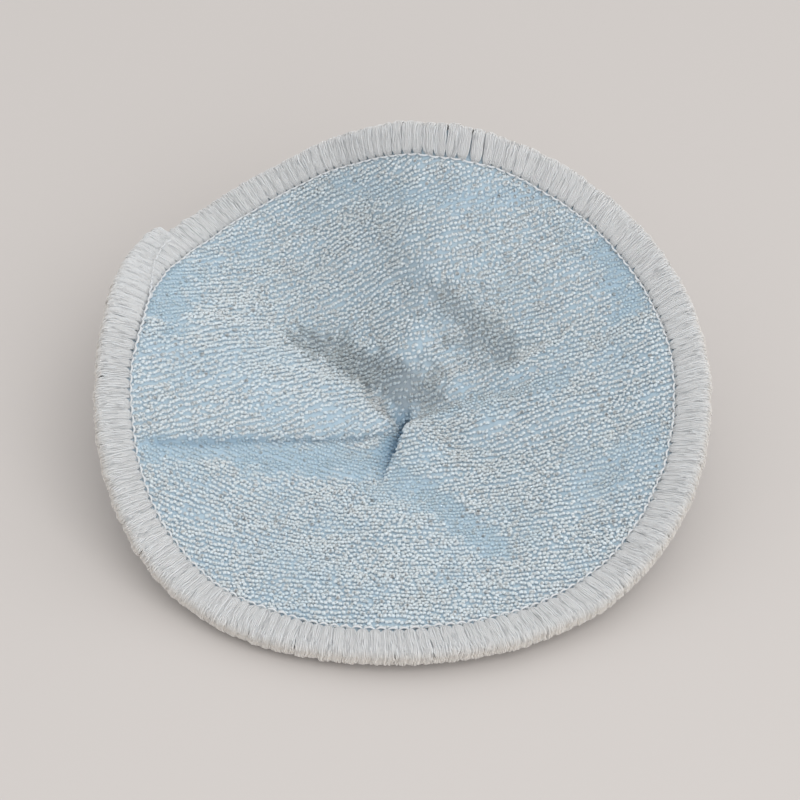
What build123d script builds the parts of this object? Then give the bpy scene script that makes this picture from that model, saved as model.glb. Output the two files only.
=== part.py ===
from build123d import *

import os
from math import cos, degrees, pi, radians, sin

# Dished cloth pad, lying hollow side up on the flat of its crown.
# Origin: below the tip of the dart, on the plane that the pad rests on.
# +Z is up, and the low edge of the dish faces -Y.

# Cloth stack, from the underside up.
BACKING_THICK = 0.8
CORE_THICK = 1.4
FACE_THICK = 1.2

# Size of the pad, measured along the cloth from the tip of the dart.
EDGE_SEAM_RADIUS = 56.0
CUT_RADIUS = 62.0

# Sewing threads, as laid on the cloth.
THREAD_THICK = 0.4
EDGE_NEEDLE_LINE = 0.5
DART_THREAD_WIDTH = 0.6
THREAD_LIFT = 0.1

# The dish: a cone whose slope is a mean value plus waves round the rim.
# Each wave is how many crests it has, how steep it is, and the heading of its first crest.
MEAN_SLOPE = radians(19.8)
SLOPE_WAVES = (
    (1, radians(18.5), radians(78)),
    (2, radians(5.0), radians(57)),
    (3, radians(2.9), radians(55)),
)
# The weight of the pad presses the tip of the cone flat against what it rests on.
CROWN_FLATTENING = 1.0

# The dart, which gathers the flat cloth into a dish.
DART_HEADING = radians(198)
DART_SLIT = 0.3
DART_TIP_RADIUS = 7.0
BOBBIN_START_RADIUS = 10.0

CURVE_POINTS = 36
SLIT_DEPTH = 60.0
FACE_LOW = BACKING_THICK + CORE_THICK
FACE_TOP = FACE_LOW + FACE_THICK
STACK_MIDDLE = FACE_TOP / 2


def slope(heading):
    """Slope of the dish along one heading, in radians."""
    waves = (rise * cos(count * (heading - crest)) for count, rise, crest in SLOPE_WAVES)
    return MEAN_SLOPE + sum(waves)


def cone_point(heading, slant, level):
    """The point at one length of cloth from the tip and one level of the stack."""
    tilt = slope(heading)
    radius = slant * cos(tilt) - level * sin(tilt)
    height = slant * sin(tilt) + level * cos(tilt) - CROWN_FLATTENING
    return Vector(radius * cos(heading), radius * sin(heading), height)


def crown_point(heading, level):
    """The point where the flat crown, at one level of the stack, meets the cone."""
    tilt = slope(heading)
    slant = (CROWN_FLATTENING + level * (1 - cos(tilt))) / sin(tilt)
    return cone_point(heading, slant, level)


def curve_round(place):
    """The closed curve round the pad through a point at every heading."""
    steps = [step / CURVE_POINTS for step in range(CURVE_POINTS + 1)]
    points = [place(2 * pi * step) for step in steps[:-1]]
    return Edge.make_spline(points, periodic=True, parameters=steps)


def rim(slant, level):
    """The curve round the cone at one length of cloth and one level."""
    return curve_round(lambda heading: cone_point(heading, slant, level))


def crown(level):
    """The curve round the flat crown at one level."""
    return curve_round(lambda heading: crown_point(heading, level))


def closed(curves, caps=()):
    """The solid whose skin runs from each curve to the next, with flat caps if any."""
    faces = [Face.make_surface_from_curves(*pair) for pair in zip(curves, curves[1:])]
    faces += [Face(Wire([cap])) for cap in caps]
    return Solid(Shell(faces))


def band(*corners):
    """A closed band round the pad, from the corners of its section."""
    curves = [rim(slant, level) for slant, level in corners]
    return closed(curves + curves[:1])


def along_dart(start, length, width, thick):
    """A straight strip along the dart, standing on a point of the cone."""
    turn = Rot(0, -degrees(slope(DART_HEADING)), 0)
    strip = Box(length, width, thick, align=(Align.MIN, Align.CENTER, Align.MIN))
    return Pos(start) * Rot(0, 0, degrees(DART_HEADING)) * turn * strip


def ply(low, high):
    """One round ply of cloth between two levels, slit along the dart."""
    crown_low, crown_high = crown(low), crown(high)
    curves = [crown_low, rim(CUT_RADIUS, low), rim(CUT_RADIUS, high), crown_high]
    cloth = closed(curves, caps=(crown_low, crown_high))
    start = cone_point(DART_HEADING, DART_TIP_RADIUS, -SLIT_DEPTH / 2)
    return cloth - along_dart(start, CUT_RADIUS, DART_SLIT, SLIT_DEPTH)


def backing_cloth():
    """The smooth ply that the pad rests on."""
    return ply(0, BACKING_THICK)


def core_cloth():
    """The thick soft ply in the middle."""
    return ply(BACKING_THICK, FACE_LOW)


def face_cloth():
    """The looped ply inside the dish, which does the polishing."""
    return ply(FACE_LOW, FACE_TOP)


def edge_upper_looper_thread():
    """Overlock thread over the face's edge, down to the middle of the cut edge."""
    outer = CUT_RADIUS + THREAD_THICK
    top = FACE_TOP + THREAD_THICK
    return band(
        (EDGE_SEAM_RADIUS, FACE_TOP),
        (CUT_RADIUS, FACE_TOP),
        (CUT_RADIUS, STACK_MIDDLE),
        (outer, STACK_MIDDLE),
        (outer, top),
        (EDGE_SEAM_RADIUS, top),
    )


def edge_lower_looper_thread():
    """Overlock thread under the backing's edge, up to the middle of the cut edge."""
    outer = CUT_RADIUS + THREAD_THICK
    return band(
        (EDGE_SEAM_RADIUS, 0),
        (CUT_RADIUS, 0),
        (CUT_RADIUS, STACK_MIDDLE),
        (outer, STACK_MIDDLE),
        (outer, -THREAD_THICK),
        (EDGE_SEAM_RADIUS, -THREAD_THICK),
    )


def edge_needle_thread():
    """The stitch line at the inner side of the edge band."""
    inner = EDGE_SEAM_RADIUS - EDGE_NEEDLE_LINE
    low = FACE_TOP + THREAD_LIFT
    top = FACE_TOP + THREAD_THICK
    return band(
        (inner, low),
        (EDGE_SEAM_RADIUS, low),
        (EDGE_SEAM_RADIUS, top),
        (inner, top),
    )


def dart_thread(start_radius, level):
    """One side of the dart's stitch line, from a radius out to the edge band."""
    length = EDGE_SEAM_RADIUS - EDGE_NEEDLE_LINE - start_radius
    start = cone_point(DART_HEADING, start_radius, level)
    return along_dart(start, length, DART_THREAD_WIDTH, THREAD_THICK)


def dart_needle_thread():
    """The dart's stitch line on the face."""
    return dart_thread(DART_TIP_RADIUS, FACE_TOP + THREAD_LIFT)


def dart_bobbin_thread():
    """The dart's stitch line on the backing, clear of the resting plane."""
    return dart_thread(BOBBIN_START_RADIUS, -THREAD_THICK - THREAD_LIFT)


SUB_PARTS = (
    backing_cloth,
    core_cloth,
    face_cloth,
    edge_upper_looper_thread,
    edge_lower_looper_thread,
    edge_needle_thread,
    dart_needle_thread,
    dart_bobbin_thread,
)

os.makedirs("parts", exist_ok=True)
for sub_part in SUB_PARTS:
    export_step(sub_part(), f"parts/{sub_part.__name__}.step")
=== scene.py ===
import logging
from dataclasses import dataclass, field
from enum import Enum
from math import cos, pi, radians, sin
from typing import Callable

import bpy
import numpy as np
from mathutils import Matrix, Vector


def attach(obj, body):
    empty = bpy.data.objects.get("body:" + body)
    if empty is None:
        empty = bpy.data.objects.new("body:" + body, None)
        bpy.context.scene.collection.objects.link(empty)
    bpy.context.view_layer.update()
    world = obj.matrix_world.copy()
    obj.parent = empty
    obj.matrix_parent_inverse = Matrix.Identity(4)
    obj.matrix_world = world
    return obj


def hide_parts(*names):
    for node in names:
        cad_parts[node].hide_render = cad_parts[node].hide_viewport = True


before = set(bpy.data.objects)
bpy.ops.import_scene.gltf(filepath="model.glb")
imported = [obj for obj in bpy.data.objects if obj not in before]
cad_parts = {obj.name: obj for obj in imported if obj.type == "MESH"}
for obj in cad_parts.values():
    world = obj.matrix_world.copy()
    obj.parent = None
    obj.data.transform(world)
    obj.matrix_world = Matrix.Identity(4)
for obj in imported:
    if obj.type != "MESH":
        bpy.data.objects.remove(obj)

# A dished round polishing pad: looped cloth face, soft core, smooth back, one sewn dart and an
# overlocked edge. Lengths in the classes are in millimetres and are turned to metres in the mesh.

MM = 0.001
ROUND_STEPS = 1441
TINY = 1e-9
SMALL_TURN = 1e-6
LEAST_LENGTH = 1e-12
log = logging.getLogger("polishing_pad")

Array = np.ndarray
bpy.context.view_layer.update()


class Side(Enum):
    """Which side of the pad a looper thread covers, as the sign of its level."""

    FACE = 1
    BACK = -1


# Shape of the pad


@dataclass(frozen=True)
class Swell:
    """A soft hill or hollow in the cloth, stretched along one heading.

    The place is in millimetres from the tip of the dart, on the laid-out plan.
    """

    x: float
    y: float
    heading: float
    length: float
    width: float
    height: float

    def at(self, x: Array, y: Array) -> Array:
        """Height of the swell over points of the plan.

        Args:
            x: Places on the laid-out plan.
            y: The same, the other way.

        Returns:
            Heights in millimetres.
        """
        turn = radians(self.heading)
        along = (x - self.x) * cos(turn) + (y - self.y) * sin(turn)
        across = (y - self.y) * cos(turn) - (x - self.x) * sin(turn)
        return self.height * np.exp(-((along / self.length) ** 2) - (across / self.width) ** 2)


FOLDS = (
    # the bright fold that stands beside the pinched tip of the dart
    Swell(5.5, -8.0, 300, 9.0, 4.0, 1.3),
    # the valley opposite the dart, where the far side starts to rise
    Swell(19, 3.0, 356, 15, 3.4, -1.0),
    Swell(20, -6.0, 352, 15, 5.0, 0.6),
    # the brushed valley that runs from the tip down the low half
    Swell(9, -25, 313, 13, 4.4, -0.9),
    Swell(-5, -18, 300, 8, 5.0, -0.8),
    # soft folds that the low half has settled into
    Swell(-19, -42, 332, 12, 5.5, 1.0),
    Swell(-15, -31, 340, 12, 5.0, -0.6),
    Swell(29, -32, 70, 10, 5.5, 1.0),
    Swell(39, -24, 60, 12, 5.0, -0.6),
    Swell(-38, -30, 215, 10, 6.0, 0.8),
    # the cloth bellies out beside the dart
    Swell(-27, -20, 201, 16, 5.5, 0.6),
    Swell(-30, -4, 198, 16, 6.0, 0.9),
    # gentle unevenness of the high half
    Swell(-30, 22, 150, 12, 7.0, -0.7),
    Swell(20, 36, 60, 12, 8.0, 0.7),
    Swell(46, 8, 80, 12, 7.0, -0.8),
    Swell(0, 30, 95, 14, 6.0, -0.6),
)


@dataclass(frozen=True)
class Crease:
    """A sharp groove in the cloth along a line of the plan, steep on one side of it."""

    start: tuple
    end: tuple
    depth: float
    steep: float
    gentle: float
    steep_side: int
    rise: float
    fall: float

    def at(self, x: Array, y: Array) -> Array:
        """How deep the groove is over points of the plan.

        Args:
            x: Places on the laid-out plan.
            y: The same, the other way.

        Returns:
            Depths in millimetres.
        """
        (x0, y0), (x1, y1) = self.start, self.end
        length = float(np.hypot(x1 - x0, y1 - y0))
        way_x, way_y = (x1 - x0) / length, (y1 - y0) / length
        along = (x - x0) * way_x + (y - y0) * way_y
        across = (y - y0) * way_x - (x - x0) * way_y
        reach = smooth(np.clip(along / self.rise, 0, 1)) * smooth(np.clip((length - along) / self.fall, 0, 1))
        width = np.where(across * self.steep_side > 0, self.steep, self.gentle)
        return self.depth * reach * np.exp(-np.abs(across) / width)


DART = Crease((0.5, 0.2), (-53.2, -20.4), 1.5, 0.6, 2.6, -1, 8.0, 7.0)
TIP_FOLD = Crease((3.4, 9.0), (-5.0, -20.0), 2.6, 0.7, 2.8, 1, 8.0, 17.0)


@dataclass(frozen=True)
class Dish:
    """The dished middle surface of the pad and everything that is measured on it.

    A point of the pad is named by its place x, y on the laid-out plan, which keeps each heading
    and each length of cloth from the dart's tip, and by its level in the stack of cloths.
    """

    mean_slope: float = 21.25
    slope_waves: tuple = ((1, 19.67, 83.3), (2, 3.94, 46.8), (3, 4.17, 68.1), (4, 2.92, -5.5))
    sink: float = 1.0
    tip_round: float = 1.8
    tip_lift: float = 0.35
    dart_heading: float = 201.0
    core_level: float = 1.7
    squeeze: float = 0.26
    squeeze_start: float = 53.5
    squeeze_end: float = 57.5
    probe: float = 0.05
    flutter: float = 0.16
    flutter_length: float = 11.0
    fade_start: float = 1.2
    fade_length: float = 90.0
    fade_least: float = 0.4
    floor: float = 0.03
    floor_share: float = 0.3
    floor_round: float = 0.12

    def slope(self, heading: Array) -> Array:
        """Slope of the dish along headings, in radians.

        Args:
            heading: Headings in radians.

        Returns:
            A slope for each heading.
        """
        total = radians(self.mean_slope) + 0 * heading
        for count, rise, crest in self.slope_waves:
            total = total + radians(rise) * np.cos(count * (heading - radians(crest)))
        return total

    def bare(self, x: Array, y: Array) -> Array:
        """The smooth dish with no folds.

        Args:
            x: Places on the laid-out plan.
            y: The same, the other way.

        Returns:
            Points in millimetres, the last axis holding x, y and z.
        """
        slant, heading = np.hypot(x, y), np.arctan2(y, x)
        tilt = self.slope(heading)
        climb = slant * np.sin(tilt) - self.sink
        height = (climb + np.sqrt(climb**2 + self.tip_round**2)) / 2 - self.tip_lift
        radius = slant * np.cos(tilt)
        return np.stack([radius * np.cos(heading), radius * np.sin(heading), height], axis=-1)

    def normal_of(self, surface: Callable, x: Array, y: Array) -> Array:
        """Unit normals of a surface over the plan, pointing up.

        Args:
            surface: The surface, as a function of x and y.
            x: Places on the laid-out plan.
            y: The same, the other way.

        Returns:
            A unit vector for each place.
        """
        step = self.probe
        over_x = surface(x + step, y) - surface(x - step, y)
        over_y = surface(x, y + step) - surface(x, y - step)
        return unit(np.cross(over_x, over_y))

    def settled(self, x: Array, y: Array) -> Array:
        """The dish with its soft folds and a slight flutter.

        Args:
            x: Places on the laid-out plan.
            y: The same, the other way.

        Returns:
            Points in millimetres, the last axis holding x, y and z.
        """
        lift = sum(swell.at(x, y) for swell in FOLDS)
        lift = lift + self.flutter * wander(x, y, self.flutter_length, 3)
        base = self.bare(x, y)
        fade = np.clip(self.fade_start - np.hypot(x, y) / self.fade_length, self.fade_least, 1.0)
        return base + self.normal_of(self.bare, x, y) * (lift * fade)[..., None]

    def squeezed(self, x: Array, y: Array, level: Array) -> Array:
        """Levels after the overlock has drawn the cloths together at the edge.

        Args:
            x: Places on the laid-out plan.
            y: The same, the other way.
            level: Levels in the stack as it is cut.

        Returns:
            Levels in the stack as it is sewn.
        """
        slant = np.hypot(x, y)
        share = (slant - self.squeeze_start) / (self.squeeze_end - self.squeeze_start)
        share = self.squeeze * smooth(np.clip(share, 0, 1))
        return self.core_level + (level - self.core_level) * (1 - share)

    def place(self, x: Array, y: Array, level: Array) -> Array:
        """Points of the pad at places on the plan and levels of the stack.

        The dart's seam draws every level down. The fold at the dart's tip presses the upper levels
        down, and nothing goes through the table.

        Args:
            x: Places on the laid-out plan.
            y: The same, the other way.
            level: Levels in the stack.

        Returns:
            Points in millimetres, the last axis holding x, y and z.
        """
        depth = self.squeezed(x, y, level)
        depth = depth - DART.at(x, y) - TIP_FOLD.at(x, y) * np.clip(level / self.core_level, 0, 1) ** 2
        normal = self.normal_of(self.settled, x, y)
        points = self.settled(x, y) + normal * depth[..., None]
        least = self.floor + self.floor_share * np.maximum(level, 0)
        over = points[..., 2] - least
        points[..., 2] = least + (over + np.sqrt(over**2 + self.floor_round**2)) / 2
        return points

    def turned(self, heading: Array) -> Array:
        """Angle on the flat cut for each heading, counted from the dart.

        Args:
            heading: Headings in radians.

        Returns:
            Angles in radians.
        """
        steps = np.linspace(0, 2 * pi, ROUND_STEPS)
        at = steps + radians(self.dart_heading)
        tilt = self.slope(at)
        bend = np.gradient(tilt, steps)
        rate = np.sqrt(np.cos(tilt) ** 2 + bend**2)
        total = np.concatenate([[0], np.cumsum((rate[1:] + rate[:-1]) / 2 * np.diff(steps))])
        return np.interp((heading - radians(self.dart_heading)) % (2 * pi), steps, total)

    def headed(self, angle: Array) -> Array:
        """Heading for each angle on the flat cut.

        Args:
            angle: Angles in radians, counted from the dart.

        Returns:
            Headings in radians.
        """
        steps = np.linspace(0, 2 * pi, ROUND_STEPS)
        total = self.turned(steps[:-1] + radians(self.dart_heading) + TINY)
        return np.interp(angle, total, steps[:-1]) + radians(self.dart_heading)

    def flat_angle(self) -> float:
        """Angle of the flat cut that is left once the dart is sewn."""
        return float(self.turned(np.array([radians(self.dart_heading) - SMALL_TURN]))[0])


def unit(vectors: Array) -> Array:
    """Vectors with a length of one."""
    return vectors / np.maximum(np.linalg.norm(vectors, axis=-1, keepdims=True), LEAST_LENGTH)


def smooth(share: Array) -> Array:
    """An even rise from 0 to 1 with level ends."""
    return share * share * (3 - 2 * share)


def wander(x: Array, y: Array, length: float, seed: int, count: int = 9) -> Array:
    """A smooth wandering value over the plan.

    Args:
        x: Places on the plan.
        y: The same, the other way.
        length: Typical distance between one crest and the next.
        seed: Seed of the crests' headings and phases.
        count: How many waves are laid over each other.

    Returns:
        Values that mostly stay between -1 and 1.
    """
    draw = np.random.default_rng(seed)
    headings, phases = draw.uniform(0, 2 * pi, (2, count))
    scales = length * draw.uniform(0.6, 1.7, count)
    total = 0 * x
    for heading, phase, scale in zip(headings, phases, scales):
        total = total + np.cos(2 * pi * (x * cos(heading) + y * sin(heading)) / scale + phase)
    return total / count**0.5


# Meshes


@dataclass
class Skin:
    """Points, faces and values of a mesh that is being put together."""

    points: list = field(default_factory=list)
    faces: list = field(default_factory=list)
    values: dict = field(default_factory=dict)
    count: int = 0

    def add(self, points: Array, faces: Array, **values: Array) -> None:
        """Adds points in millimetres, four-cornered faces and a value for each point.

        Args:
            points: The new points.
            faces: Four corners for each face, counted from the first new point.
            **values: Named values, one for each new point.
        """
        self.points.append(points.reshape(-1, 3))
        self.faces.append(faces.reshape(-1, 4) + self.count)
        for name, value in values.items():
            self.values.setdefault(name, []).append(np.asarray(value, float).reshape(-1))
        self.count += len(self.points[-1])

    def build(self, name: str, finish: bpy.types.Material) -> bpy.types.Object:
        """Makes the mesh object.

        Args:
            name: Name of the piece.
            finish: Its material.

        Returns:
            The new object, smooth shaded, in the scene.
        """
        points = np.concatenate(self.points) * MM
        faces = np.concatenate(self.faces)
        mesh = bpy.data.meshes.new(name)
        mesh.vertices.add(len(points))
        mesh.vertices.foreach_set("co", points.astype(np.float32).ravel())
        mesh.loops.add(faces.size)
        mesh.loops.foreach_set("vertex_index", faces.astype(np.int32).ravel())
        mesh.polygons.add(len(faces))
        mesh.polygons.foreach_set("loop_start", np.arange(0, faces.size, 4, dtype=np.int32))
        mesh.update(calc_edges=True)
        for value_name, parts in self.values.items():
            layer = mesh.attributes.new(value_name, "FLOAT", "POINT")
            layer.data.foreach_set("value", np.concatenate(parts).astype(np.float32))
        mesh.polygons.foreach_set("use_smooth", np.ones(len(faces), bool))
        mesh.materials.append(finish)
        piece = bpy.data.objects.new(name, mesh)
        bpy.context.scene.collection.objects.link(piece)
        return piece


def grid_faces(rows: int, columns: int, wrap_rows: bool, wrap_columns: bool) -> Array:
    """Faces of a grid of points, joined to itself either way if asked.

    Args:
        rows: How many rows of points there are.
        columns: How many points a row has.
        wrap_rows: Whether the last row joins the first.
        wrap_columns: Whether each row's end joins its start.

    Returns:
        Four corners for each face.
    """
    row = np.arange(rows if wrap_rows else rows - 1)[:, None]
    column = np.arange(columns if wrap_columns else columns - 1)[None, :]
    after_row, after_column = (row + 1) % rows, (column + 1) % columns
    corners = (
        row * columns + column,
        row * columns + after_column,
        after_row * columns + after_column,
        after_row * columns + column,
    )
    return np.stack(np.broadcast_arrays(*corners), axis=-1).reshape(-1, 4)


def add_strands(
    skin: Skin, centres: Array, wide: Array, high: Array, sides: int, ripple: float = 0.0,
    lobes: int = 5, seed: int = 1, **values: Array,
) -> None:
    """Adds many short closed strands of the same make.

    Args:
        skin: The mesh that they are added to.
        centres: Points down each strand's middle, strands by steps by 3.
        wide: Half of each section's width, as vectors of the same shape.
        high: Half of each section's height, as vectors of the same shape.
        sides: How many sides a section has, an even number.
        ripple: How deep the filaments' furrows are, as a share of the section.
        lobes: How many filaments show round a section.
        seed: Seed of the furrows' places.
        **values: A value for each strand and step.
    """
    strands, steps, _ = centres.shape
    turn = 2 * pi * np.arange(sides) / sides
    draw = np.random.default_rng(seed)
    phase = draw.uniform(0, 2 * pi, (strands, 1, 1))
    twist = np.linspace(0, 1.5 * pi, steps)[None, :, None] * draw.choice([-1, 1], (strands, 1, 1))
    swell = 1 + ripple * np.cos(lobes * turn[None, None, :] + phase + twist)
    ring = (
        centres[:, :, None, :]
        + wide[:, :, None, :] * (np.cos(turn)[None, None, :] * swell)[..., None]
        + high[:, :, None, :] * (np.sin(turn)[None, None, :] * swell)[..., None]
    )
    one = grid_faces(steps, sides, False, True)
    half = sides // 2
    cap = [(i, i + 1, sides - 2 - i, sides - 1 - i) for i in range(half - 1)]
    start = np.array(cap)
    end = start[:, ::-1] + (steps - 1) * sides
    one = np.concatenate([one, start, end])
    faces = one[None] + (np.arange(strands) * steps * sides)[:, None, None]
    for name, value in values.items():
        values[name] = np.repeat(value.reshape(strands, steps), sides, axis=1)
    skin.add(ring, faces, **values)


# Finishes

# Bands of the knit for each metre, in the units of the wave texture.
KNIT_WALES = 285.0
KNIT_COURSES = 360.0
KNIT_SWAY = 0.6
FUZZ_DETAIL = 4.0
FUZZ_ROUGHNESS = 0.65
CLOUD_SCALE = 130.0
# How light meets every fibre.
SHEEN_ROUGHNESS = 0.55
SPECULAR_LEVEL = 0.18
GLOW_RADIUS = (0.9, 1.0, 1.1)
GLOW_DEPTH = 1.1 * MM
FUZZ_HEIGHT = 0.15 * MM


def new_group(name: str, inputs: dict, outputs: dict) -> bpy.types.NodeTree:
    """Makes an empty shader node group.

    Args:
        name: Name of the group.
        inputs: Socket type for each input's name.
        outputs: Socket type for each output's name.

    Returns:
        The group, with its input and output nodes in place.
    """
    group = bpy.data.node_groups.new(name, "ShaderNodeTree")
    for label, kind in inputs.items():
        group.interface.new_socket(label, in_out="INPUT", socket_type=kind)
    for label, kind in outputs.items():
        group.interface.new_socket(label, in_out="OUTPUT", socket_type=kind)
    group.nodes.new("NodeGroupInput")
    group.nodes.new("NodeGroupOutput")
    return group


def math_node(tree: bpy.types.NodeTree, operation: str, first: object, second: object) -> object:
    """A math node fed by sockets or plain numbers, as its output socket.

    Args:
        tree: The node tree that it is added to.
        operation: What it works out.
        first: Its first input.
        second: Its second input.

    Returns:
        The node's output socket.
    """
    node = tree.nodes.new("ShaderNodeMath")
    node.operation = operation
    for socket, value in zip(node.inputs, (first, second)):
        if isinstance(value, (int, float)):
            socket.default_value = value
        else:
            tree.links.new(value, socket)
    return node.outputs[0]


def fibre_group() -> bpy.types.NodeTree:
    """The node group of soft fibre: uneven colour and fine fuzz, shared by every cloth and thread.

    Returns:
        A group with inputs Colour, Deep, Depth, Scale, Unevenness and Knit, and outputs Colour and
        Height. Knit is how clearly the stitches of the cloth show.
    """
    inputs = {
        "Colour": "NodeSocketColor",
        "Deep": "NodeSocketColor",
        "Depth": "NodeSocketFloat",
        "Scale": "NodeSocketFloat",
        "Unevenness": "NodeSocketFloat",
        "Knit": "NodeSocketFloat",
    }
    outputs = {"Colour": "NodeSocketColor", "Height": "NodeSocketFloat"}
    group = new_group("soft_fibre", inputs, outputs)
    nodes, links = group.nodes, group.links
    given, made = nodes["Group Input"], nodes["Group Output"]
    place = nodes.new("ShaderNodeTexCoord")
    fuzz = nodes.new("ShaderNodeTexNoise")
    fuzz.inputs["Detail"].default_value = FUZZ_DETAIL
    fuzz.inputs["Roughness"].default_value = FUZZ_ROUGHNESS
    links.new(place.outputs["Object"], fuzz.inputs["Vector"])
    links.new(given.outputs["Scale"], fuzz.inputs["Scale"])
    cloud = nodes.new("ShaderNodeTexNoise")
    cloud.inputs["Scale"].default_value = CLOUD_SCALE
    links.new(place.outputs["Object"], cloud.inputs["Vector"])
    sway = math_node(group, "SUBTRACT", cloud.outputs["Fac"], 0.5)
    sway = math_node(group, "MULTIPLY", sway, given.outputs["Unevenness"])
    share = math_node(group, "MULTIPLY", fuzz.outputs["Fac"], given.outputs["Depth"])
    share = math_node(group, "ADD", share, sway)
    knit = given.outputs["Knit"]
    for direction, scale in (("X", KNIT_WALES), ("Y", KNIT_COURSES)):
        wave = nodes.new("ShaderNodeTexWave")
        wave.bands_direction = direction
        wave.inputs["Scale"].default_value = scale
        wave.inputs["Distortion"].default_value = KNIT_SWAY
        links.new(place.outputs["Object"], wave.inputs["Vector"])
        knit = math_node(group, "MULTIPLY", knit, wave.outputs["Fac"])
    share = math_node(group, "SUBTRACT", share, knit)
    height = math_node(group, "ADD", fuzz.outputs["Fac"], knit)
    blend = nodes.new("ShaderNodeMix")
    blend.data_type = "RGBA"
    blend.clamp_factor = True
    links.new(share, blend.inputs["Factor"])
    links.new(given.outputs["Colour"], blend.inputs["A"])
    links.new(given.outputs["Deep"], blend.inputs["B"])
    links.new(blend.outputs["Result"], made.inputs["Colour"])
    links.new(height, made.inputs["Height"])
    return group


@dataclass(frozen=True)
class Finish:
    """A soft matt finish of fibre.

    Colours are linear red, green and blue. The patches are values kept on the mesh, each with the
    colour that it draws the fibre towards.
    """

    name: str
    colour: tuple
    deep: tuple
    depth: float
    unevenness: float
    scale: float
    bump: float
    roughness: float
    sheen: float
    soft: float = 0.0
    patches: tuple = ()
    knit: float = 0.0

    def material(self, fibre: bpy.types.NodeTree) -> bpy.types.Material:
        """Makes the material.

        Args:
            fibre: The shared group of soft fibre.

        Returns:
            The material, ready to put on a piece.
        """
        made = bpy.data.materials.new(self.name)
        made.use_nodes = True
        tree = made.node_tree
        nodes, links = tree.nodes, tree.links
        shader = nodes["Principled BSDF"]
        shader.inputs["Roughness"].default_value = self.roughness
        shader.inputs["Sheen Weight"].default_value = self.sheen
        shader.inputs["Sheen Roughness"].default_value = SHEEN_ROUGHNESS
        shader.inputs["Specular IOR Level"].default_value = SPECULAR_LEVEL
        shader.inputs["Subsurface Weight"].default_value = self.soft
        shader.inputs["Subsurface Radius"].default_value = GLOW_RADIUS
        shader.inputs["Subsurface Scale"].default_value = GLOW_DEPTH
        cloth = nodes.new("ShaderNodeGroup")
        cloth.node_tree = fibre
        cloth.inputs["Colour"].default_value = (*self.colour, 1)
        cloth.inputs["Deep"].default_value = (*self.deep, 1)
        cloth.inputs["Depth"].default_value = self.depth
        cloth.inputs["Scale"].default_value = self.scale
        cloth.inputs["Unevenness"].default_value = self.unevenness
        cloth.inputs["Knit"].default_value = self.knit
        colour = cloth.outputs["Colour"]
        for value_name, tint in self.patches:
            value = nodes.new("ShaderNodeAttribute")
            value.attribute_name = value_name
            mix = nodes.new("ShaderNodeMix")
            mix.data_type = "RGBA"
            links.new(value.outputs["Fac"], mix.inputs["Factor"])
            links.new(colour, mix.inputs["A"])
            mix.inputs["B"].default_value = (*tint, 1)
            colour = mix.outputs["Result"]
        links.new(colour, shader.inputs["Base Color"])
        bump = nodes.new("ShaderNodeBump")
        bump.inputs["Strength"].default_value = self.bump
        bump.inputs["Distance"].default_value = FUZZ_HEIGHT
        links.new(cloth.outputs["Height"], bump.inputs["Height"])
        links.new(bump.outputs["Normal"], shader.inputs["Normal"])
        return made


TERRY = Finish(
    name="terry_loops", colour=(0.615, 0.70, 0.765), deep=(0.525, 0.63, 0.71),
    depth=0.5, unevenness=0.5, scale=2600.0, bump=0.3, roughness=0.95, sheen=0.3, soft=0.85,
    patches=(
        # root is painted shade at the foot of each loop; brushed and stain are the cloth's own
        ("root", (0.50, 0.595, 0.665)), ("brushed", (0.36, 0.49, 0.60)), ("stain", (0.36, 0.42, 0.46)),
        # deep is painted shade in the creases
        ("deep", (0.17, 0.27, 0.37)),
    ),
)
GROUND = Finish(
    name="terry_ground", colour=(0.445, 0.555, 0.635), deep=(0.385, 0.495, 0.585),
    depth=0.6, unevenness=0.4, scale=2000.0, bump=0.4, roughness=0.95, sheen=0.2, soft=0.5,
    # deep is painted shade in the creases; brushed and stain are the cloth's own
    patches=(("brushed", (0.37, 0.50, 0.61)), ("stain", (0.30, 0.35, 0.39)), ("deep", (0.16, 0.26, 0.36))),
)
CORE = Finish(
    name="core_fleece", colour=(0.70, 0.71, 0.71), deep=(0.52, 0.53, 0.54),
    depth=0.6, unevenness=0.3, scale=900.0, bump=0.6, roughness=0.9, sheen=0.2,
)
BACKING = Finish(
    name="backing_knit", colour=(0.66, 0.69, 0.72), deep=(0.46, 0.50, 0.54),
    depth=0.7, unevenness=0.3, scale=1500.0, bump=1.0, roughness=0.8, sheen=0.2, knit=0.9,
    # root on the back is painted shade along the dart's crease
    patches=(("root", (0.42, 0.46, 0.50)),),
)
OVERLOCK = Finish(
    name="overlock_thread", colour=(0.62, 0.645, 0.67), deep=(0.575, 0.605, 0.63),
    depth=0.45, unevenness=0.35, scale=2200.0, bump=0.3, roughness=0.9, sheen=0.3, soft=0.5,
    # root is painted shade at the needle holes and between the ribs; warm tints the thread round the edge
    patches=(("root", (0.44, 0.48, 0.51)), ("warm", (0.66, 0.62, 0.57))),
)
DART_THREAD = Finish(
    name="dart_thread", colour=(0.50, 0.60, 0.68), deep=(0.36, 0.46, 0.54),
    depth=0.5, unevenness=0.3, scale=2400.0, bump=0.4, roughness=0.9, sheen=0.2,
)


# Patches of the pile


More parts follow.
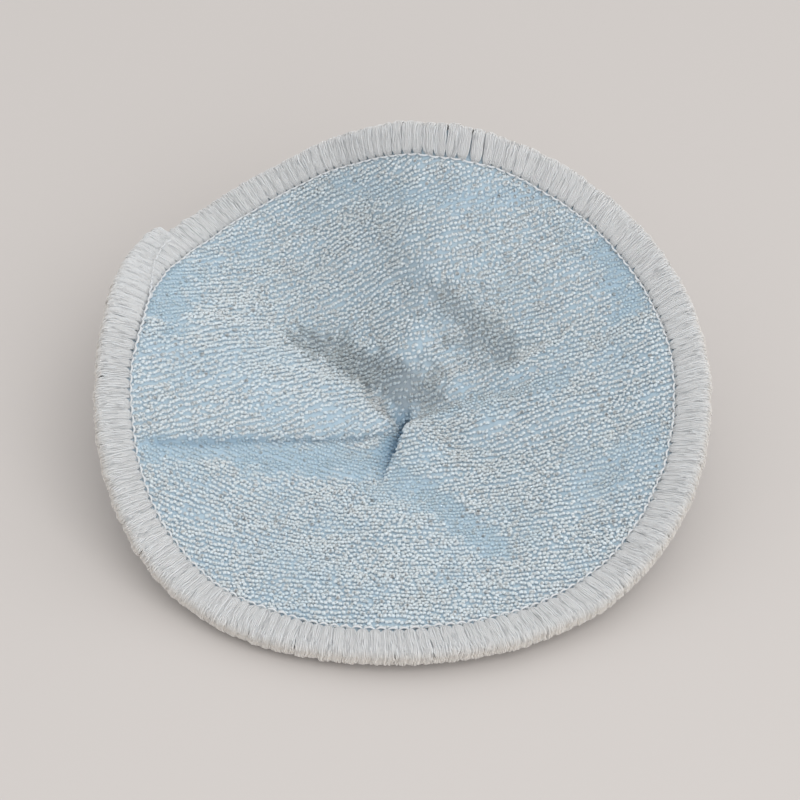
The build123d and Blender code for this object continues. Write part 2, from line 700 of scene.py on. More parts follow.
@dataclass(frozen=True)
class Patch:
    """A soft-edged patch of the pile, between two ends on the laid-out plan."""

    start: tuple
    end: tuple
    width: float
    strength: float = 1.0

    def at(self, x: Array, y: Array, ragged: Array) -> Array:
        """Strength of the patch over points of the plan, with an edge moved in and out.

        Args:
            x: Places on the laid-out plan.
            y: The same, the other way.
            ragged: How far the edge is moved out at each place.

        Returns:
            Strengths from 0 to 1.
        """
        (x0, y0), (x1, y1) = self.start, self.end
        run_x, run_y = x1 - x0, y1 - y0
        length = max(run_x**2 + run_y**2, SMALL_TURN)
        along = np.clip(((x - x0) * run_x + (y - y0) * run_y) / length, 0, 1)
        away = np.hypot(x - x0 - along * run_x, y - y0 - along * run_y)
        return self.strength * smooth(np.clip(1.35 - 0.85 * away / self.width + ragged, 0, 1))


BRUSHED = (
    Patch((-49, 24), (-51, 10), 4.4, 0.85),
    Patch((-45, 26), (-42, 31), 3.2, 0.45),
    Patch((-50, -20), (-10, -8), 2.2, 0.8),
    Patch((-30, -15), (-4, -10), 3.2, 0.9),
    Patch((1, -15), (17, -34), 3.4, 0.8),
    Patch((-6, -17), (3, -21), 3.4, 0.55),
    Patch((5, 3), (34, 2), 2.4, 0.55),
    Patch((50, 14), (47, 27), 3.4, 0.8),
    Patch((-14, 51), (38, 41), 1.8, 0.45),
    Patch((38, -23), (46, -18), 4.5, 0.5),
    Patch((-24, -36), (-14, -42), 4.0, 0.3),
    Patch((-2, -3), (-4, -8), 2.0, 1.0),
    Patch((-38, 2), (-30, 8), 5.0, 0.2),
)
STAINS = (
    Patch((-21, 16), (-14, 16), 3.6, 0.95),
    Patch((-14, 16), (-4, 13), 4.4, 1.0),
    Patch((-4, 13), (7, 9), 4.2, 0.95),
    Patch((12, 27), (17, 21), 3.2, 0.75),
    Patch((17, 21), (24, 12), 4.0, 0.8),
    Patch((-4, 42), (4, 34), 7.0, 0.14),
    Patch((4, 33), (7, 28), 4.5, 0.3),
    Patch((-17, 50), (-14, 49), 2.2, 0.2),
)

# How strong the brushed clouds are between the named patches.
STRAY = 0.28
BRUSHED_SEED = 41
STAIN_SEED = 21


def crease_shade_at(x: Array, y: Array) -> Array:
    """How far painted shade darkens the cloth in the creases, over points of the plan."""
    fold = np.clip(1.5 * TIP_FOLD.at(x, y) / TIP_FOLD.depth - 0.2, 0, 1)
    return np.maximum(fold, 0.55 * np.clip(2.0 * DART.at(x, y) / DART.depth - 1.0, 0, 1))


def patches_at(patches: tuple, x: Array, y: Array, seed: int, stray: float = 0.0) -> Array:
    """Combined strength of patches over points of the plan, with a share of stray cloudiness.

    Args:
        patches: The patches.
        x: Places on the laid-out plan.
        y: The same, the other way.
        seed: Seed of the ragged edges.
        stray: How strong the clouds between the patches are.

    Returns:
        Strengths from 0 to 1.
    """
    ragged = 0.30 * wander(x, y, 5.0, seed) + 0.22 * wander(x, y, 2.4, seed + 1)
    total = stray * smooth(np.clip(wander(x, y, 13.0, seed + 2) - 0.25, 0, 1))
    for patch in patches:
        total = np.maximum(total, patch.at(x, y, ragged))
    return total


def brushed_at(x: Array, y: Array) -> Array:
    """How far the loops have been brushed down over points of the plan."""
    return patches_at(BRUSHED, x, y, BRUSHED_SEED, STRAY)


def stain_at(x: Array, y: Array) -> Array:
    """How stained the cloth is over points of the plan."""
    return patches_at(STAINS, x, y, STAIN_SEED)


# Cloths


@dataclass
class Ply:
    """One smooth closed ply of cloth between two levels of the stack."""

    name: str
    node: str
    slot: str
    low: float
    high: float
    rests_on: tuple
    radius: float = 60.7
    rings: int = 96
    spokes: int = 400
    roll: int = 5
    # painted shade along the dart starts where the crease is this deep, as a share of its depth
    dart_shade_start: float = 0.35

    def sections(self) -> tuple[Array, Array]:
        """Slants and levels round a section of the ply, from its middle out and back.

        Returns:
            The slants and the levels.
        """
        share = np.linspace(0, 1, self.rings)
        slant = self.radius * share
        half = (self.high - self.low) / 2
        turn = np.linspace(-pi / 2, pi / 2, self.roll + 2)[1:-1]
        round_slant = self.radius - half + half * np.cos(turn)
        round_level = (self.low + self.high) / 2 + half * np.sin(turn)
        slant[-1] = self.radius - half
        slants = np.concatenate([slant[1:], round_slant, slant[:0:-1]])
        lows, highs = np.full(self.rings - 1, self.low), np.full(self.rings - 1, self.high)
        return slants, np.concatenate([lows, round_level, highs])

    def build(self, dish: Dish, finish: bpy.types.Material) -> bpy.types.Object:
        """Makes the ply.

        Args:
            dish: The shape that the cloth has taken.
            finish: Its material.

        Returns:
            The ply.
        """
        slants, levels = self.sections()
        heading = 2 * pi * np.arange(self.spokes) / self.spokes
        x = slants[:, None] * np.cos(heading)
        y = slants[:, None] * np.sin(heading)
        points = dish.place(x, y, levels[:, None] + 0 * x)
        faces = grid_faces(len(slants), self.spokes, False, True)
        skin = Skin()
        stain = stain_at(x, y)
        brushed = brushed_at(x, y)
        # root is painted shade along the dart's crease; only the backing's finish uses it
        root = np.clip(DART.at(x, y) / DART.depth - self.dart_shade_start, 0, 1)
        # deep is painted shade in the creases
        skin.add(points, faces, stain=stain, root=root, brushed=brushed, deep=crease_shade_at(x, y))
        self.close(skin, 0, dish, self.low)
        self.close(skin, len(slants) - 1, dish, self.high)
        piece = skin.build(self.name, finish)
        self.declare(piece)
        return piece

    def close(self, skin: Skin, row: int, dish: Dish, level: float) -> None:
        """Closes the small hole in the middle of the ply with a fan of faces.

        Args:
            skin: The ply's mesh.
            row: The row of the ply that the hole is in.
            dish: The shape that the cloth has taken.
            level: Level of the hole in the stack.
        """
        middle = dish.place(np.zeros(1), np.zeros(1), np.full(1, level))
        first = np.arange(0, self.spokes, 2)
        ring = row * self.spokes
        hub = np.full_like(first, skin.count)
        corners = (ring + first, ring + (first + 1) % self.spokes, ring + (first + 2) % self.spokes, hub)
        faces = np.stack(corners, axis=-1) - skin.count
        if row == 0:
            faces = faces[:, ::-1]
        nothing = np.zeros(1)
        skin.add(middle, faces, stain=nothing, root=nothing, brushed=nothing, deep=nothing)

    def declare(self, piece: bpy.types.Object) -> None:
        """Rides the piece on the pad and hides the plain solid that it stands for.

        Args:
            piece: The ply.
        """
        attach(piece, "root")
        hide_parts(self.node)


@dataclass
class Pile:
    """The loops that stand on the face ply, in courses that run across the flat cut.

    The cloth has stretched a little round the dart, so the courses turn as they go round.
    """

    course_gap: float = 0.98
    loop_gap: float = 0.60
    course_turn: float = 152.0
    stretch: float = 1.09
    reach: float = 55.7
    ground_level: float = 2.75
    height: float = 0.68
    foot: float = 0.17
    thick: float = 0.31
    # unevenness of the courses
    jitter: float = 0.13
    drift: float = 0.35
    bare_tip: float = 0.4
    along_step: float = 0.1
    # how the loops turn, lean and curl
    normal_reach: float = 0.3
    spin: float = 0.45
    lean: float = 0.55
    brushed_lean: float = 0.6
    lean_sway: float = 0.22
    lean_spread: float = 0.18
    side_spread: float = 0.20
    side_sway: float = 0.3
    curl: float = 0.25
    sunk: float = 0.1
    arch: float = 0.7
    # how tall they stand
    height_spread: float = 0.10
    brushed_down: float = 0.72
    dart_press: float = 0.6
    edge_press: float = 0.35
    press_start: float = 53.5
    press_width: float = 2.5
    # the yarn
    foot_share: float = 0.66
    crown_share: float = 0.40
    thick_spread: float = 0.08
    # painted shade: how far up each loop the darker root tint reaches, and how it fades
    root_shade_reach: float = 0.60
    root_shade_fade: float = 1.3
    ripple: float = 0.15
    lobes: int = 3
    steps: int = 6
    sides: int = 6
    parts: int = 7
    seed: int = 7

    def grid(self, dish: Dish) -> tuple[Array, Array, Array, Array]:
        """Places of the loops on the plan and a place just further along each one's course.

        Args:
            dish: The shape that the cloth has taken.

        Returns:
            The x and y of each loop, and the x and y of the further place.
        """
        draw = np.random.default_rng(self.seed)
        span = np.arange(-self.reach, self.reach, self.course_gap)
        along = np.arange(-self.reach, self.reach, self.loop_gap)
        across, run = np.meshgrid(span, along, indexing="ij")
        stagger = (np.arange(len(span)) % 2)[:, None] * self.loop_gap / 2
        run = run + stagger + draw.normal(0, self.jitter, run.shape)
        across = across + draw.normal(0, self.jitter, run.shape) + self.drift * wander(across, run, 17.0, 31)
        turn = radians(self.course_turn)
        flat_x = run * cos(turn) - across * sin(turn)
        flat_y = run * sin(turn) + across * cos(turn)
        angle = np.arctan2(flat_y, flat_x) % (2 * pi)
        slant = np.hypot(flat_x, flat_y)
        on_cloth = angle < dish.flat_angle() / self.stretch
        kept = (slant < self.reach) & on_cloth & (slant > self.bare_tip)
        flat_x, flat_y = flat_x[kept], flat_y[kept]
        x, y = self.laid(dish, flat_x, flat_y)
        step_x, step_y = self.along_step * cos(turn), self.along_step * sin(turn)
        on_x, on_y = self.laid(dish, flat_x + step_x, flat_y + step_y)
        return x, y, on_x, on_y

    def laid(self, dish: Dish, flat_x: Array, flat_y: Array) -> tuple[Array, Array]:
        """Places on the laid-out plan for places on the flat cut.

        Args:
            dish: The shape that the cloth has taken.
            flat_x: Places on the flat cut.
            flat_y: The same, the other way.

        Returns:
            The places' x and y.
        """
        slant = np.hypot(flat_x, flat_y)
        angle = np.arctan2(flat_y, flat_x) % (2 * pi) * self.stretch
        heading = dish.headed(np.clip(angle, 0, dish.flat_angle()))
        return slant * np.cos(heading), slant * np.sin(heading)

    def stand(self, dish: Dish, places: tuple) -> tuple[Array, Array, Array, Array]:
        """Where each loop stands on the cloth.

        Args:
            dish: The shape that the cloth has taken.
            places: The places that grid gave.

        Returns:
            The foot of each loop, and the unit ways up, along its course and across it.
        """
        x, y, on_x, on_y = places
        level = np.full(len(x), self.ground_level)
        base = dish.place(x, y, level)
        normal = unit(dish.place(x, y, level + self.normal_reach) - base)
        course = unit(dish.place(on_x, on_y, level) - base)
        course = unit(course - normal * (course * normal).sum(1, keepdims=True))
        return base, normal, course, np.cross(normal, course)

    def heights(self, x: Array, y: Array, brushed: Array, draw: np.random.Generator) -> Array:
        """How tall each loop stands: less where it is brushed, at the dart and at the edge.

        Args:
            x: Places on the laid-out plan.
            y: The same, the other way.
            brushed: How far each loop is brushed down.
            draw: The pile's random numbers.

        Returns:
            Heights in millimetres.
        """
        tall = self.height * (1 + draw.normal(0, self.height_spread, len(x)))
        tall = tall * (1 - self.brushed_down * brushed)
        tall = tall * (1 - self.dart_press * np.clip(2 * DART.at(x, y) / DART.depth - 1, 0, 1))
        near_edge = smooth(np.clip((np.hypot(x, y) - self.press_start) / self.press_width, 0, 1))
        return tall * (1 - self.edge_press * near_edge)

    def arcs(self, dish: Dish, places: tuple, brushed: Array) -> tuple[Array, Array, Array, Array]:
        """The bent shape of every loop.

        Args:
            dish: The shape that the cloth has taken.
            places: The places that grid gave.
            brushed: How far each loop is brushed down.

        Returns:
            The middle lines, half of each section's width and height as vectors, and how near
            each section is to the ground, which sets the painted shade at each loop's root.
        """
        x, y = places[:2]
        count = len(x)
        draw = np.random.default_rng(self.seed + 1)
        base, normal, course, wale = self.stand(dish, places)
        spin = draw.normal(0, self.spin, count)[:, None]
        row = course * np.cos(spin) + wale * np.sin(spin)
        lean = self.lean + self.brushed_lean * brushed + self.lean_sway * wander(x, y, 6.0, 51)
        lean = lean + draw.normal(0, self.lean_spread, count)
        side = draw.normal(0, self.side_spread, count) + self.side_sway * wander(x, y, 8.0, 52)
        tall = self.heights(x, y, brushed, draw)
        up = unit(normal - wale * lean[:, None] + row * (0.5 * side)[:, None])
        bend = np.linspace(0, 1, self.steps)[None, :]
        spread = -np.cos(pi * bend) * self.foot
        rise = np.sin(pi * bend) ** self.arch * tall[:, None]
        centres = base[:, None, :] + row[:, None, :] * spread[..., None]
        centres = centres + up[:, None, :] * (rise - self.sunk)[..., None]
        centres = centres - wale[:, None, :] * (self.curl * lean[:, None] * rise**2)[..., None]
        ahead = unit(np.gradient(centres, axis=1))
        wide = unit(wale[:, None, :] - ahead * (ahead * wale[:, None, :]).sum(-1, keepdims=True))
        plump = self.thick * (self.foot_share + self.crown_share * np.sin(pi * bend))
        plump = (plump * (1 + draw.normal(0, self.thick_spread, (count, 1))))[..., None]
        # painted shade: each loop is darker towards its root, near the ground
        root = np.clip(1.0 - rise / (self.root_shade_reach * self.height), 0, 1) ** self.root_shade_fade
        return centres, wide * plump, np.cross(ahead, wide) * plump, root

    def build(self, dish: Dish, finish: bpy.types.Material) -> list[bpy.types.Object]:
        """Makes the loops, in a few pieces.

        Args:
            dish: The shape that the cloth has taken.
            finish: The loops' material.

        Returns:
            The pieces.
        """
        places = self.grid(dish)
        x, y = places[:2]
        brushed = brushed_at(x, y)
        centres, wide, high, root = self.arcs(dish, places, brushed)
        # deep is painted shade in the creases
        values = {"brushed": brushed, "stain": stain_at(x, y), "deep": crease_shade_at(x, y)}
        values = {name: np.repeat(value[:, None], self.steps, axis=1) for name, value in values.items()}
        # root is painted shade at the foot of each loop
        values["root"] = root
        pieces = []
        for part, chosen in enumerate(np.array_split(np.arange(len(x)), self.parts)):
            skin = Skin()
            picked = {name: value[chosen] for name, value in values.items()}
            add_strands(
                skin, centres[chosen], wide[chosen], high[chosen], self.sides,
                self.ripple, self.lobes, self.seed + part, **picked,
            )
            piece = skin.build(f"face_loops_{part + 1}", finish)
            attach(piece, "root")
            pieces.append(piece)
        log.info("pile: %d loops", len(x))
        return pieces


# Sewing


@dataclass
class Overlock:
    """The overlocked edge: looper threads over and under the edge, and the needle's stitch line.

    Each stitch of a looper thread is a soft domed rib made of many fine crinkled filaments.
    """

    dish: Dish
    stitches: int = 168
    seam: float = 56.0
    edge: float = 61.7
    top: float = 3.4
    rib_share: float = 0.54
    dome: float = 0.40
    lean: float = 0.30
    width_spread: float = 0.09
    lean_spread: float = 0.07
    level_spread: float = 0.03
    filaments: int = 8
    filament_half: float = 0.19
    crinkle: float = 0.07
    sides: int = 6
    parts: int = 2
    seed: int = 61
    lap_start: float = 147.0
    lap_end: float = 184.0
    lap_count: int = 18
    lap_join: float = 0.66
    lap_seam: float = 60.4
    lap_edge: float = 63.6
    lap_lift: float = 0.40
    # how the threads gather at the holes and fill the band
    gather: float = 0.60
    gather_share: float = 0.14
    edge_gather: float = 0.03
    body_sink: float = 0.12
    body_dome: float = 0.95
    # painted shade: thread darker at the needle holes, on the plain body and at each rib's sides
    hole_shade: float = 0.6
    hole_steps: float = 1.4
    body_shade: float = 0.08
    side_shade: float = 0.30
    side_start: float = 0.55
    warm: float = 0.75
    needle_half: float = 0.17
    needle_sides: int = 8
    needle_ripple: float = 0.14

    def pitch(self) -> float:
        """Distance from one stitch to the next in the middle of the band, in millimetres."""
        return self.dish.flat_angle() * (self.seam + self.edge) / 2 / self.stitches

    def headings(self) -> Array:
        """Headings of the needle holes, evenly spaced along the flat edge."""
        return self.dish.headed(self.dish.flat_angle() * (np.arange(self.stitches) + 0.5) / self.stitches)

    def section(self, side: Side) -> tuple[Array, Array]:
        """Path of a looper thread across the band, as shares of its width and levels.

        Args:
            side: The side of the pad that the thread covers.

        Returns:
            The shares and the levels.
        """
        if side is Side.FACE:
            shares = [-0.05, -0.02, 0.08, 0.22, 0.38, 0.55, 0.72, 0.85, 0.94, 0.99, 1.0, 0.97]
            levels = [-0.85, -0.15, 0.20, 0.32, 0.36, 0.36, 0.30, 0.14, -0.20, -0.75, -1.35, -1.95]
            return np.array(shares), self.top + np.array(levels)
        shares = [0.03, 0.08, 0.20, 0.38, 0.55, 0.72, 0.86, 0.94, 0.99, 1.0, 0.97]
        levels = [0.45, -0.10, -0.28, -0.32, -0.32, -0.28, -0.10, 0.20, 0.75, 1.35, 1.95]
        return np.array(shares), np.array(levels)

    def ribs(self, side: Side, hole: Array, seam: Array, edge: Array, lift: float, seed: int) -> dict:
        """Middle lines of the ribs of a looper thread, with the ways across and out of each.

        Args:
            side: The side of the pad that the thread covers.
            hole: Heading of each stitch's needle hole.
            seam: Slant of each stitch's needle hole.
            edge: Slant of each stitch's turn at the edge.
            lift: How far the thread lies over the stitches under it.
            seed: Seed of the stitches' unevenness.

        Returns:
            The centres, the unit ways around and over, and the share of the band's width.
        """
        draw = np.random.default_rng(seed)
        shares, levels = self.section(side)
        count = len(hole)
        across = np.clip(shares, 0, 1)[None, :]
        width = (edge - seam)[:, None] + draw.normal(0, self.width_spread, (count, 1))
        slant = seam[:, None] + width * shares[None, :]
        sweep = side.value * self.lean * self.pitch() * across
        sweep = sweep + draw.normal(0, self.lean_spread, (count, 1)) * across
        heading = hole[:, None] + sweep / slant
        level = levels[None, :] + side.value * (lift + draw.normal(0, self.level_spread, (count, 1)))
        x, y = slant * np.cos(heading), slant * np.sin(heading)
        centres = self.dish.place(x, y, level + 0 * x)
        ahead = unit(np.gradient(centres, axis=1))
        around = self.dish.place(-y * 0.01 + x, x * 0.01 + y, level + 0 * x) - centres
        around = unit(around - ahead * (ahead * around).sum(-1, keepdims=True))
        return {"centres": centres, "around": around, "over": np.cross(ahead, around), "across": across}

    def bundle(self, skin: Skin, ribs: dict, side: Side, seed: int) -> None:
        """Adds the filaments of each rib, over a plain body that keeps the rib full.

        Args:
            skin: The mesh that they are added to.
            ribs: What the method ribs gave.
            side: The side of the pad that the thread covers.
            seed: Seed of the filaments' crinkle.
        """
        draw = np.random.default_rng(seed)
        centres, around, over, across = (ribs[name] for name in ("centres", "around", "over", "across"))
        count, steps, _ = centres.shape
        gather = self.gather + (1 - self.gather) * smooth(np.clip(across / self.gather_share, 0, 1))
        if side is Side.FACE:
            late = (across - 1 + self.gather_share) / self.gather_share
            gather = gather * (1 - self.edge_gather * smooth(np.clip(late, 0, 1)))
        half = self.rib_share * self.pitch() * gather + np.zeros((count, 1))
        dome = self.dome * gather + np.zeros((count, 1))
        over = over * side.value
        # painted shade: darker near the needle hole, over the body and at the rib's sides
        hole = self.hole_shade * np.clip(1 - np.arange(steps) / self.hole_steps, 0, 1)
        hole = hole[None, :] + np.zeros((count, 1))
        body = centres - over * self.body_sink
        warm = self.warm * self.warmth(side, steps)[None, :] + np.zeros((count, 1))
        add_strands(
            skin, body, around * half[..., None], over * (self.body_dome * dome)[..., None],
            2 * self.sides, 0.05, 5, seed, root=np.clip(hole + self.body_shade, 0, 1), warm=warm,
        )
        along = np.linspace(0, 1, steps)[None, :]
        for index in range(self.filaments):
            offset = (index + 0.5) / self.filaments * 2 - 1 + draw.normal(0, 0.05, (count, 1))
            loose = self.crinkle * draw.choice([1.0, 1.0, 1.0, 1.6, 2.2], (count, 1)) * np.sqrt(across)
            phase = draw.uniform(0, 2 * pi, (4, count, 1))
            turns = draw.uniform(1.5, 3.5, (2, count, 1)) * 2 * pi
            sway = np.sin(turns[0] * along + phase[0]) + 0.6 * np.sin(2.3 * turns[1] * along + phase[1])
            heave = loose * np.sin(turns[1] * along + phase[2]) * 0.7
            crown = dome * np.sqrt(np.clip(1 - 0.92 * offset**2, 0, 1)) - 0.10
            line = centres + around * (offset * half + loose * sway)[..., None]
            line = line + over * (crown + heave)[..., None]
            thin = self.filament_half * (1 + draw.normal(0, 0.12, (count, 1)))
            thin = (thin * (0.6 + 0.4 * gather))[..., None]
            side_shade = self.side_shade * np.clip(np.abs(offset) - self.side_start, 0, 1) + 0 * along
            add_strands(
                skin, line, around * thin, over * thin, self.sides, 0.0, 3, seed + index,
                root=np.clip(hole + side_shade, 0, 1), warm=warm,
            )

    def warmth(self, side: Side, steps: int) -> Array:
        """How far each step of a rib is round the edge, where the thread is tinted warmer.

        Args:
            side: The side of the pad that the thread covers.
            steps: How many steps a rib has.

        Returns:
            A share from 0 to 1 for each step.
        """
        if side is Side.BACK:
            return np.ones(steps)
        return smooth(np.clip((np.arange(steps) - steps + 5) / 4, 0, 1))

    def looper(self, side: Side, finish: bpy.types.Material) -> None:
        """Makes one looper thread all round the edge, with the lap where the sewing ends.

        Args:
            side: The side of the pad that the thread covers.
            finish: The thread's material.
        """
        word = "upper" if side is Side.FACE else "lower"
        hole = self.headings()
        lap, lap_seam, lap_edge = self.lap()
        if side is Side.BACK:
            half = self.pitch() / self.edge / 2
            hole, lap = hole + half, lap + half
        for part, chosen in enumerate(np.array_split(hole, self.parts)):
            skin = Skin()
            seam = np.full(len(chosen), self.seam)
            seed = self.seed + 20 * part
            ribs = self.ribs(side, chosen, seam, seam + self.edge - self.seam, 0.0, seed)
            self.bundle(skin, ribs, side, seed + 1)
            if part == 0:
                over = self.ribs(side, lap, lap_seam, lap_edge, self.lap_lift, seed + 2)
                self.bundle(skin, over, side, seed + 3)
            piece = skin.build(f"{word}_looper_stitches_{part + 1}", finish)
            self.dress(piece, f"edge_{word}_looper_thread")

    def lap(self) -> tuple[Array, Array, Array]:
        """Headings, seam slants and edge slants where the second pass runs in over the first.

        Returns:
            The headings, the seam slants and the edge slants.
        """
        share = np.linspace(0, 1, self.lap_count)
        heading = radians(self.lap_start) + share * radians(self.lap_end - self.lap_start)
        joined = smooth(np.clip(share / self.lap_join, 0, 1))
        seam = self.lap_seam + (self.seam - self.lap_seam) * joined
        return heading, seam, self.lap_edge + (self.edge - self.lap_edge) * smooth(share)

    def dress(self, piece: bpy.types.Object, node: str) -> bpy.types.Object:
        """Rides the piece on the pad in place of its plain solid.

        Args:
            piece: The piece.
            node: Name of the solid.

        Returns:
            The same piece.
        """
        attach(piece, "root")
        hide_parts(node)
        return piece

    def needle_line(self, finish: bpy.types.Material) -> bpy.types.Object:
        """Makes the needle thread: a short stitch from each hole to the next.

        Args:
            finish: The thread's material.

        Returns:
            The row of stitches.
        """
        skin = Skin()
        self.stitch_run(skin, self.headings(), np.full(self.stitches, self.seam), True)
        heading, seam, _ = self.lap()
        self.stitch_run(skin, heading, seam, False)
        piece = skin.build("edge_needle_stitches", finish)
        return self.dress(piece, "edge_needle_thread")

    def stitch_run(self, skin: Skin, hole: Array, seam: Array, closed: bool) -> None:
        """Adds the stitches between neighbouring holes of a row.

        Args:
            skin: The mesh that they are added to.
            hole: Heading of each hole.
            seam: Slant of each hole.
            closed: Whether the row runs all the way round.
        """
        after, after_seam = np.roll(hole, -1), np.roll(seam, -1)
        if not closed:
            hole, after, seam, after_seam = hole[:-1], after[:-1], seam[:-1], after_seam[:-1]
        gap = (after - hole) % (2 * pi)
        share = np.linspace(0.02, 0.98, 9)[None, :]
        heading = hole[:, None] + gap[:, None] * share
        bow = np.sin(pi * share)
        slant = seam[:, None] * (1 - share) + after_seam[:, None] * share - 0.28 - 0.30 * bow
        level = self.top - 0.30 + 0.48 * bow**0.6 + (0.0 if closed else 0.85)
        x, y = slant * np.cos(heading), slant * np.sin(heading)
        centres = self.dish.place(x, y, level + 0 * x)
        ahead = unit(np.gradient(centres, axis=1))
        normal = self.dish.normal_of(self.dish.settled, x, y)
        across = unit(np.cross(ahead, normal))
        over = np.cross(across, ahead)
        thick = (self.needle_half * (0.8 + 0.3 * bow))[..., None]
        # painted shade: each stitch darkens towards its ends, where the thread goes into the holes
        root = np.clip(0.45 - bow, 0, 1) + 0 * slant
        add_strands(
            skin, centres, across * thick, over * thick, self.needle_sides, self.needle_ripple, 3,
            self.seed + 9, root=root, warm=0 * root,
        )


@dataclass
class DartSeam:
    """The lockstitch seam of the dart: a needle thread on the face, a bobbin thread behind."""

    start: float = 6.0
    end: float = 55.0
    stitch: float = 2.4
    thick: float = 0.16
    sides: int = 8
    ripple: float = 0.14
    seed: int = 81
    back_start: float = 12.0
    face_level: float = 2.6
    face_bow: float = 0.35
    back_level: float = 0.1
    back_bow: float = -0.3

    def row(
        self, dish: Dish, level: float, bow: float, start: float, name: str, finish: bpy.types.Material,
    ) -> bpy.types.Object:
        """Makes one row of stitches along the dart.

        Args:
            dish: The shape that the cloth has taken.
            level: Level at which the thread enters the cloth.
            bow: How far each stitch stands over that level.
            start: Distance of the first stitch from the dart's tip.
            name: Name of the piece.
            finish: Its material.

        Returns:
            The row of stitches.
        """
        first = np.arange(start, self.end, self.stitch)[:, None]
        share = np.linspace(0.06, 0.94, 9)[None, :]
        slant = first + self.stitch * share
        turn = radians(dish.dart_heading)
        x, y = slant * cos(turn), slant * sin(turn)
        rise = np.sin(pi * share) ** 0.6
        centres = dish.place(x, y, level + bow * rise + 0 * x)
        ahead = unit(np.gradient(centres, axis=1))
        across = unit(np.cross(ahead, dish.normal_of(dish.settled, x, y)))
        over = np.cross(across, ahead)
        skin = Skin()
        wide, high = across * self.thick, over * self.thick
        add_strands(skin, centres, wide, high, self.sides, self.ripple, 3, self.seed, root=0 * slant)
        piece = skin.build(name, finish)
        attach(piece, "root")
        return piece


# Studio


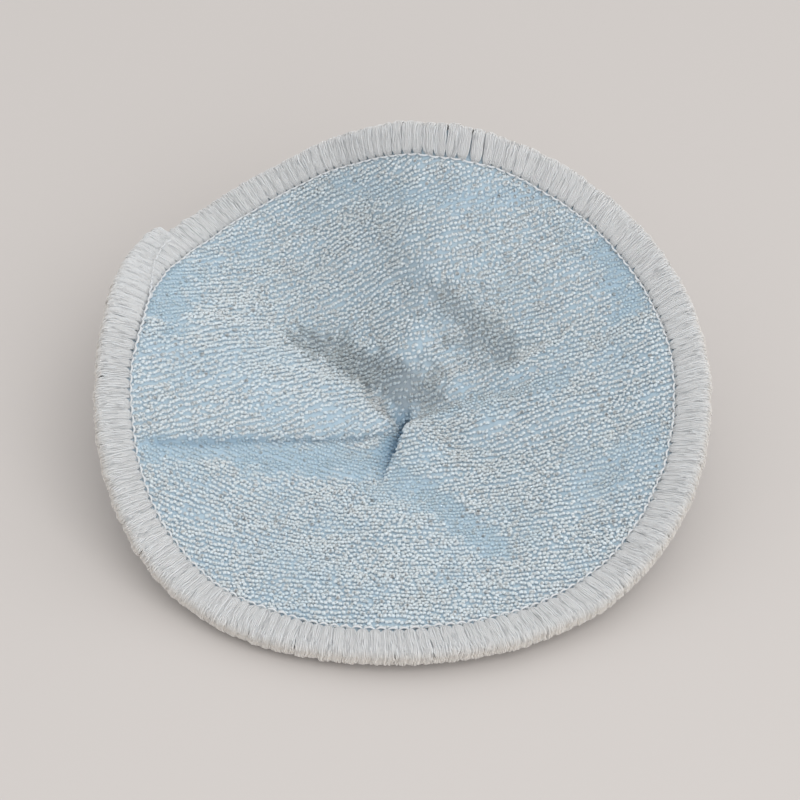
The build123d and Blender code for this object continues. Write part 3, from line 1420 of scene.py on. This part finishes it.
@dataclass
class Studio:
    """Plain pale table, soft light from behind and above, and the camera."""

    elevation: float = 42.0
    distance: float = 450.0
    lens: float = 104.8
    aim_height: float = 9.5
    table_size: float = 4.0
    table_colour: tuple = (0.56, 0.533, 0.517, 1)
    table_roughness: float = 0.7
    table_specular: float = 0.1
    room_strength: float = 0.80
    daylight: tuple = (1.0, 0.99, 0.98)
    softbox_size: float = 1.2
    back_place: tuple = (0.35, 0.60, 1.10)
    back_power: float = 1.6
    front_place: tuple = (0.40, -0.80, 0.9)
    front_power: float = 9.0

    def camera(self) -> None:
        """Places the camera in front of and above the pad."""
        lens = bpy.data.cameras.new("camera")
        lens.lens = self.lens
        lens.sensor_width = 36.0
        lens.clip_start = 0.01
        camera = bpy.data.objects.new("camera", lens)
        bpy.context.scene.collection.objects.link(camera)
        tilt = radians(self.elevation)
        place = Vector((0, -cos(tilt), sin(tilt))) * self.distance * MM
        aim = Vector((0, 0, self.aim_height * MM))
        camera.location = place
        camera.rotation_euler = (aim - place).to_track_quat("-Z", "Y").to_euler()
        bpy.context.scene.camera = camera

    def table(self) -> None:
        """Makes the pale table top."""
        half = self.table_size / 2
        corners = [(-half, -half, 0), (half, -half, 0), (half, half, 0), (-half, half, 0)]
        mesh = bpy.data.meshes.new("table")
        mesh.from_pydata(corners, [], [(0, 1, 2, 3)])
        made = bpy.data.materials.new("table_top")
        made.use_nodes = True
        shader = made.node_tree.nodes["Principled BSDF"]
        shader.inputs["Base Color"].default_value = self.table_colour
        shader.inputs["Roughness"].default_value = self.table_roughness
        shader.inputs["Specular IOR Level"].default_value = self.table_specular
        mesh.materials.append(made)
        table = bpy.data.objects.new("table", mesh)
        bpy.context.scene.collection.objects.link(table)

    def lamp(self, name: str, place: tuple, power: float) -> None:
        """Adds a square soft light that faces the pad.

        Args:
            name: Name of the light.
            place: Its middle, in metres.
            power: Its power, in watts.
        """
        lamp = bpy.data.lights.new(name, "AREA")
        lamp.size = self.softbox_size
        lamp.energy = power
        lamp.color = self.daylight
        holder = bpy.data.objects.new(name, lamp)
        holder.location = place
        holder.rotation_euler = (-Vector(place)).to_track_quat("-Z", "Y").to_euler()
        bpy.context.scene.collection.objects.link(holder)

    def light(self) -> None:
        """Sets the room's even light and the soft lamps."""
        world = bpy.data.worlds.new("room")
        world.use_nodes = True
        room = world.node_tree.nodes["Background"]
        room.inputs["Color"].default_value = (*self.daylight, 1)
        room.inputs["Strength"].default_value = self.room_strength
        bpy.context.scene.world = world
        self.lamp("back_softbox", self.back_place, self.back_power)
        self.lamp("front_softbox", self.front_place, self.front_power)
        bpy.context.scene.view_settings.view_transform = "Standard"


# Making


def make_cloths(dish: Dish, fibre: bpy.types.NodeTree) -> None:
    """Makes the three plies and the pile of the face.

    Args:
        dish: The shape that the cloth has taken.
        fibre: The shared group of soft fibre.
    """
    plies = (
        (Ply("backing_sheet", "backing_cloth", "backing_white", 0.0, 0.8, ()), BACKING),
        (Ply("core_sheet", "core_cloth", "absorbent_white", 0.84, 2.16, ("backing_sheet",)), CORE),
        (Ply("face_sheet", "face_cloth", "terry_blue", 2.2, 2.8, ("core_sheet",)), GROUND),
    )
    for ply, finish in plies:
        ply.build(dish, finish.material(fibre))
        log.info("ply: %s", ply.name)
    Pile().build(dish, TERRY.material(fibre))


def make_edge(dish: Dish, fibre: bpy.types.NodeTree) -> None:
    """Makes the overlocked edge.

    Args:
        dish: The shape that the cloth has taken.
        fibre: The shared group of soft fibre.
    """
    edge = Overlock(dish)
    white = OVERLOCK.material(fibre)
    for side in Side:
        edge.looper(side, white)
    edge.needle_line(white)
    log.info("edge: %d stitches", edge.stitches)


def make_dart(dish: Dish, fibre: bpy.types.NodeTree) -> None:
    """Makes the two rows of the dart's seam.

    Args:
        dish: The shape that the cloth has taken.
        fibre: The shared group of soft fibre.
    """
    seam = DartSeam()
    thread = DART_THREAD.material(fibre)
    face_row = seam.row(dish, seam.face_level, seam.face_bow, seam.start, "dart_face_stitches", thread)
    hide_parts("dart_needle_thread")
    back_row = seam.row(dish, seam.back_level, seam.back_bow, seam.back_start, "dart_back_stitches", thread)
    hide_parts("dart_bobbin_thread")
    log.info("dart: two rows of stitches")


def main() -> None:
    """Makes the whole pad and its studio."""
    logging.basicConfig(level=logging.INFO)
    studio = Studio()
    studio.camera()
    studio.table()
    studio.light()
    dish = Dish()
    fibre = fibre_group()
    make_cloths(dish, fibre)
    make_edge(dish, fibre)
    make_dart(dish, fibre)


if __name__ == "__main__":
    main()
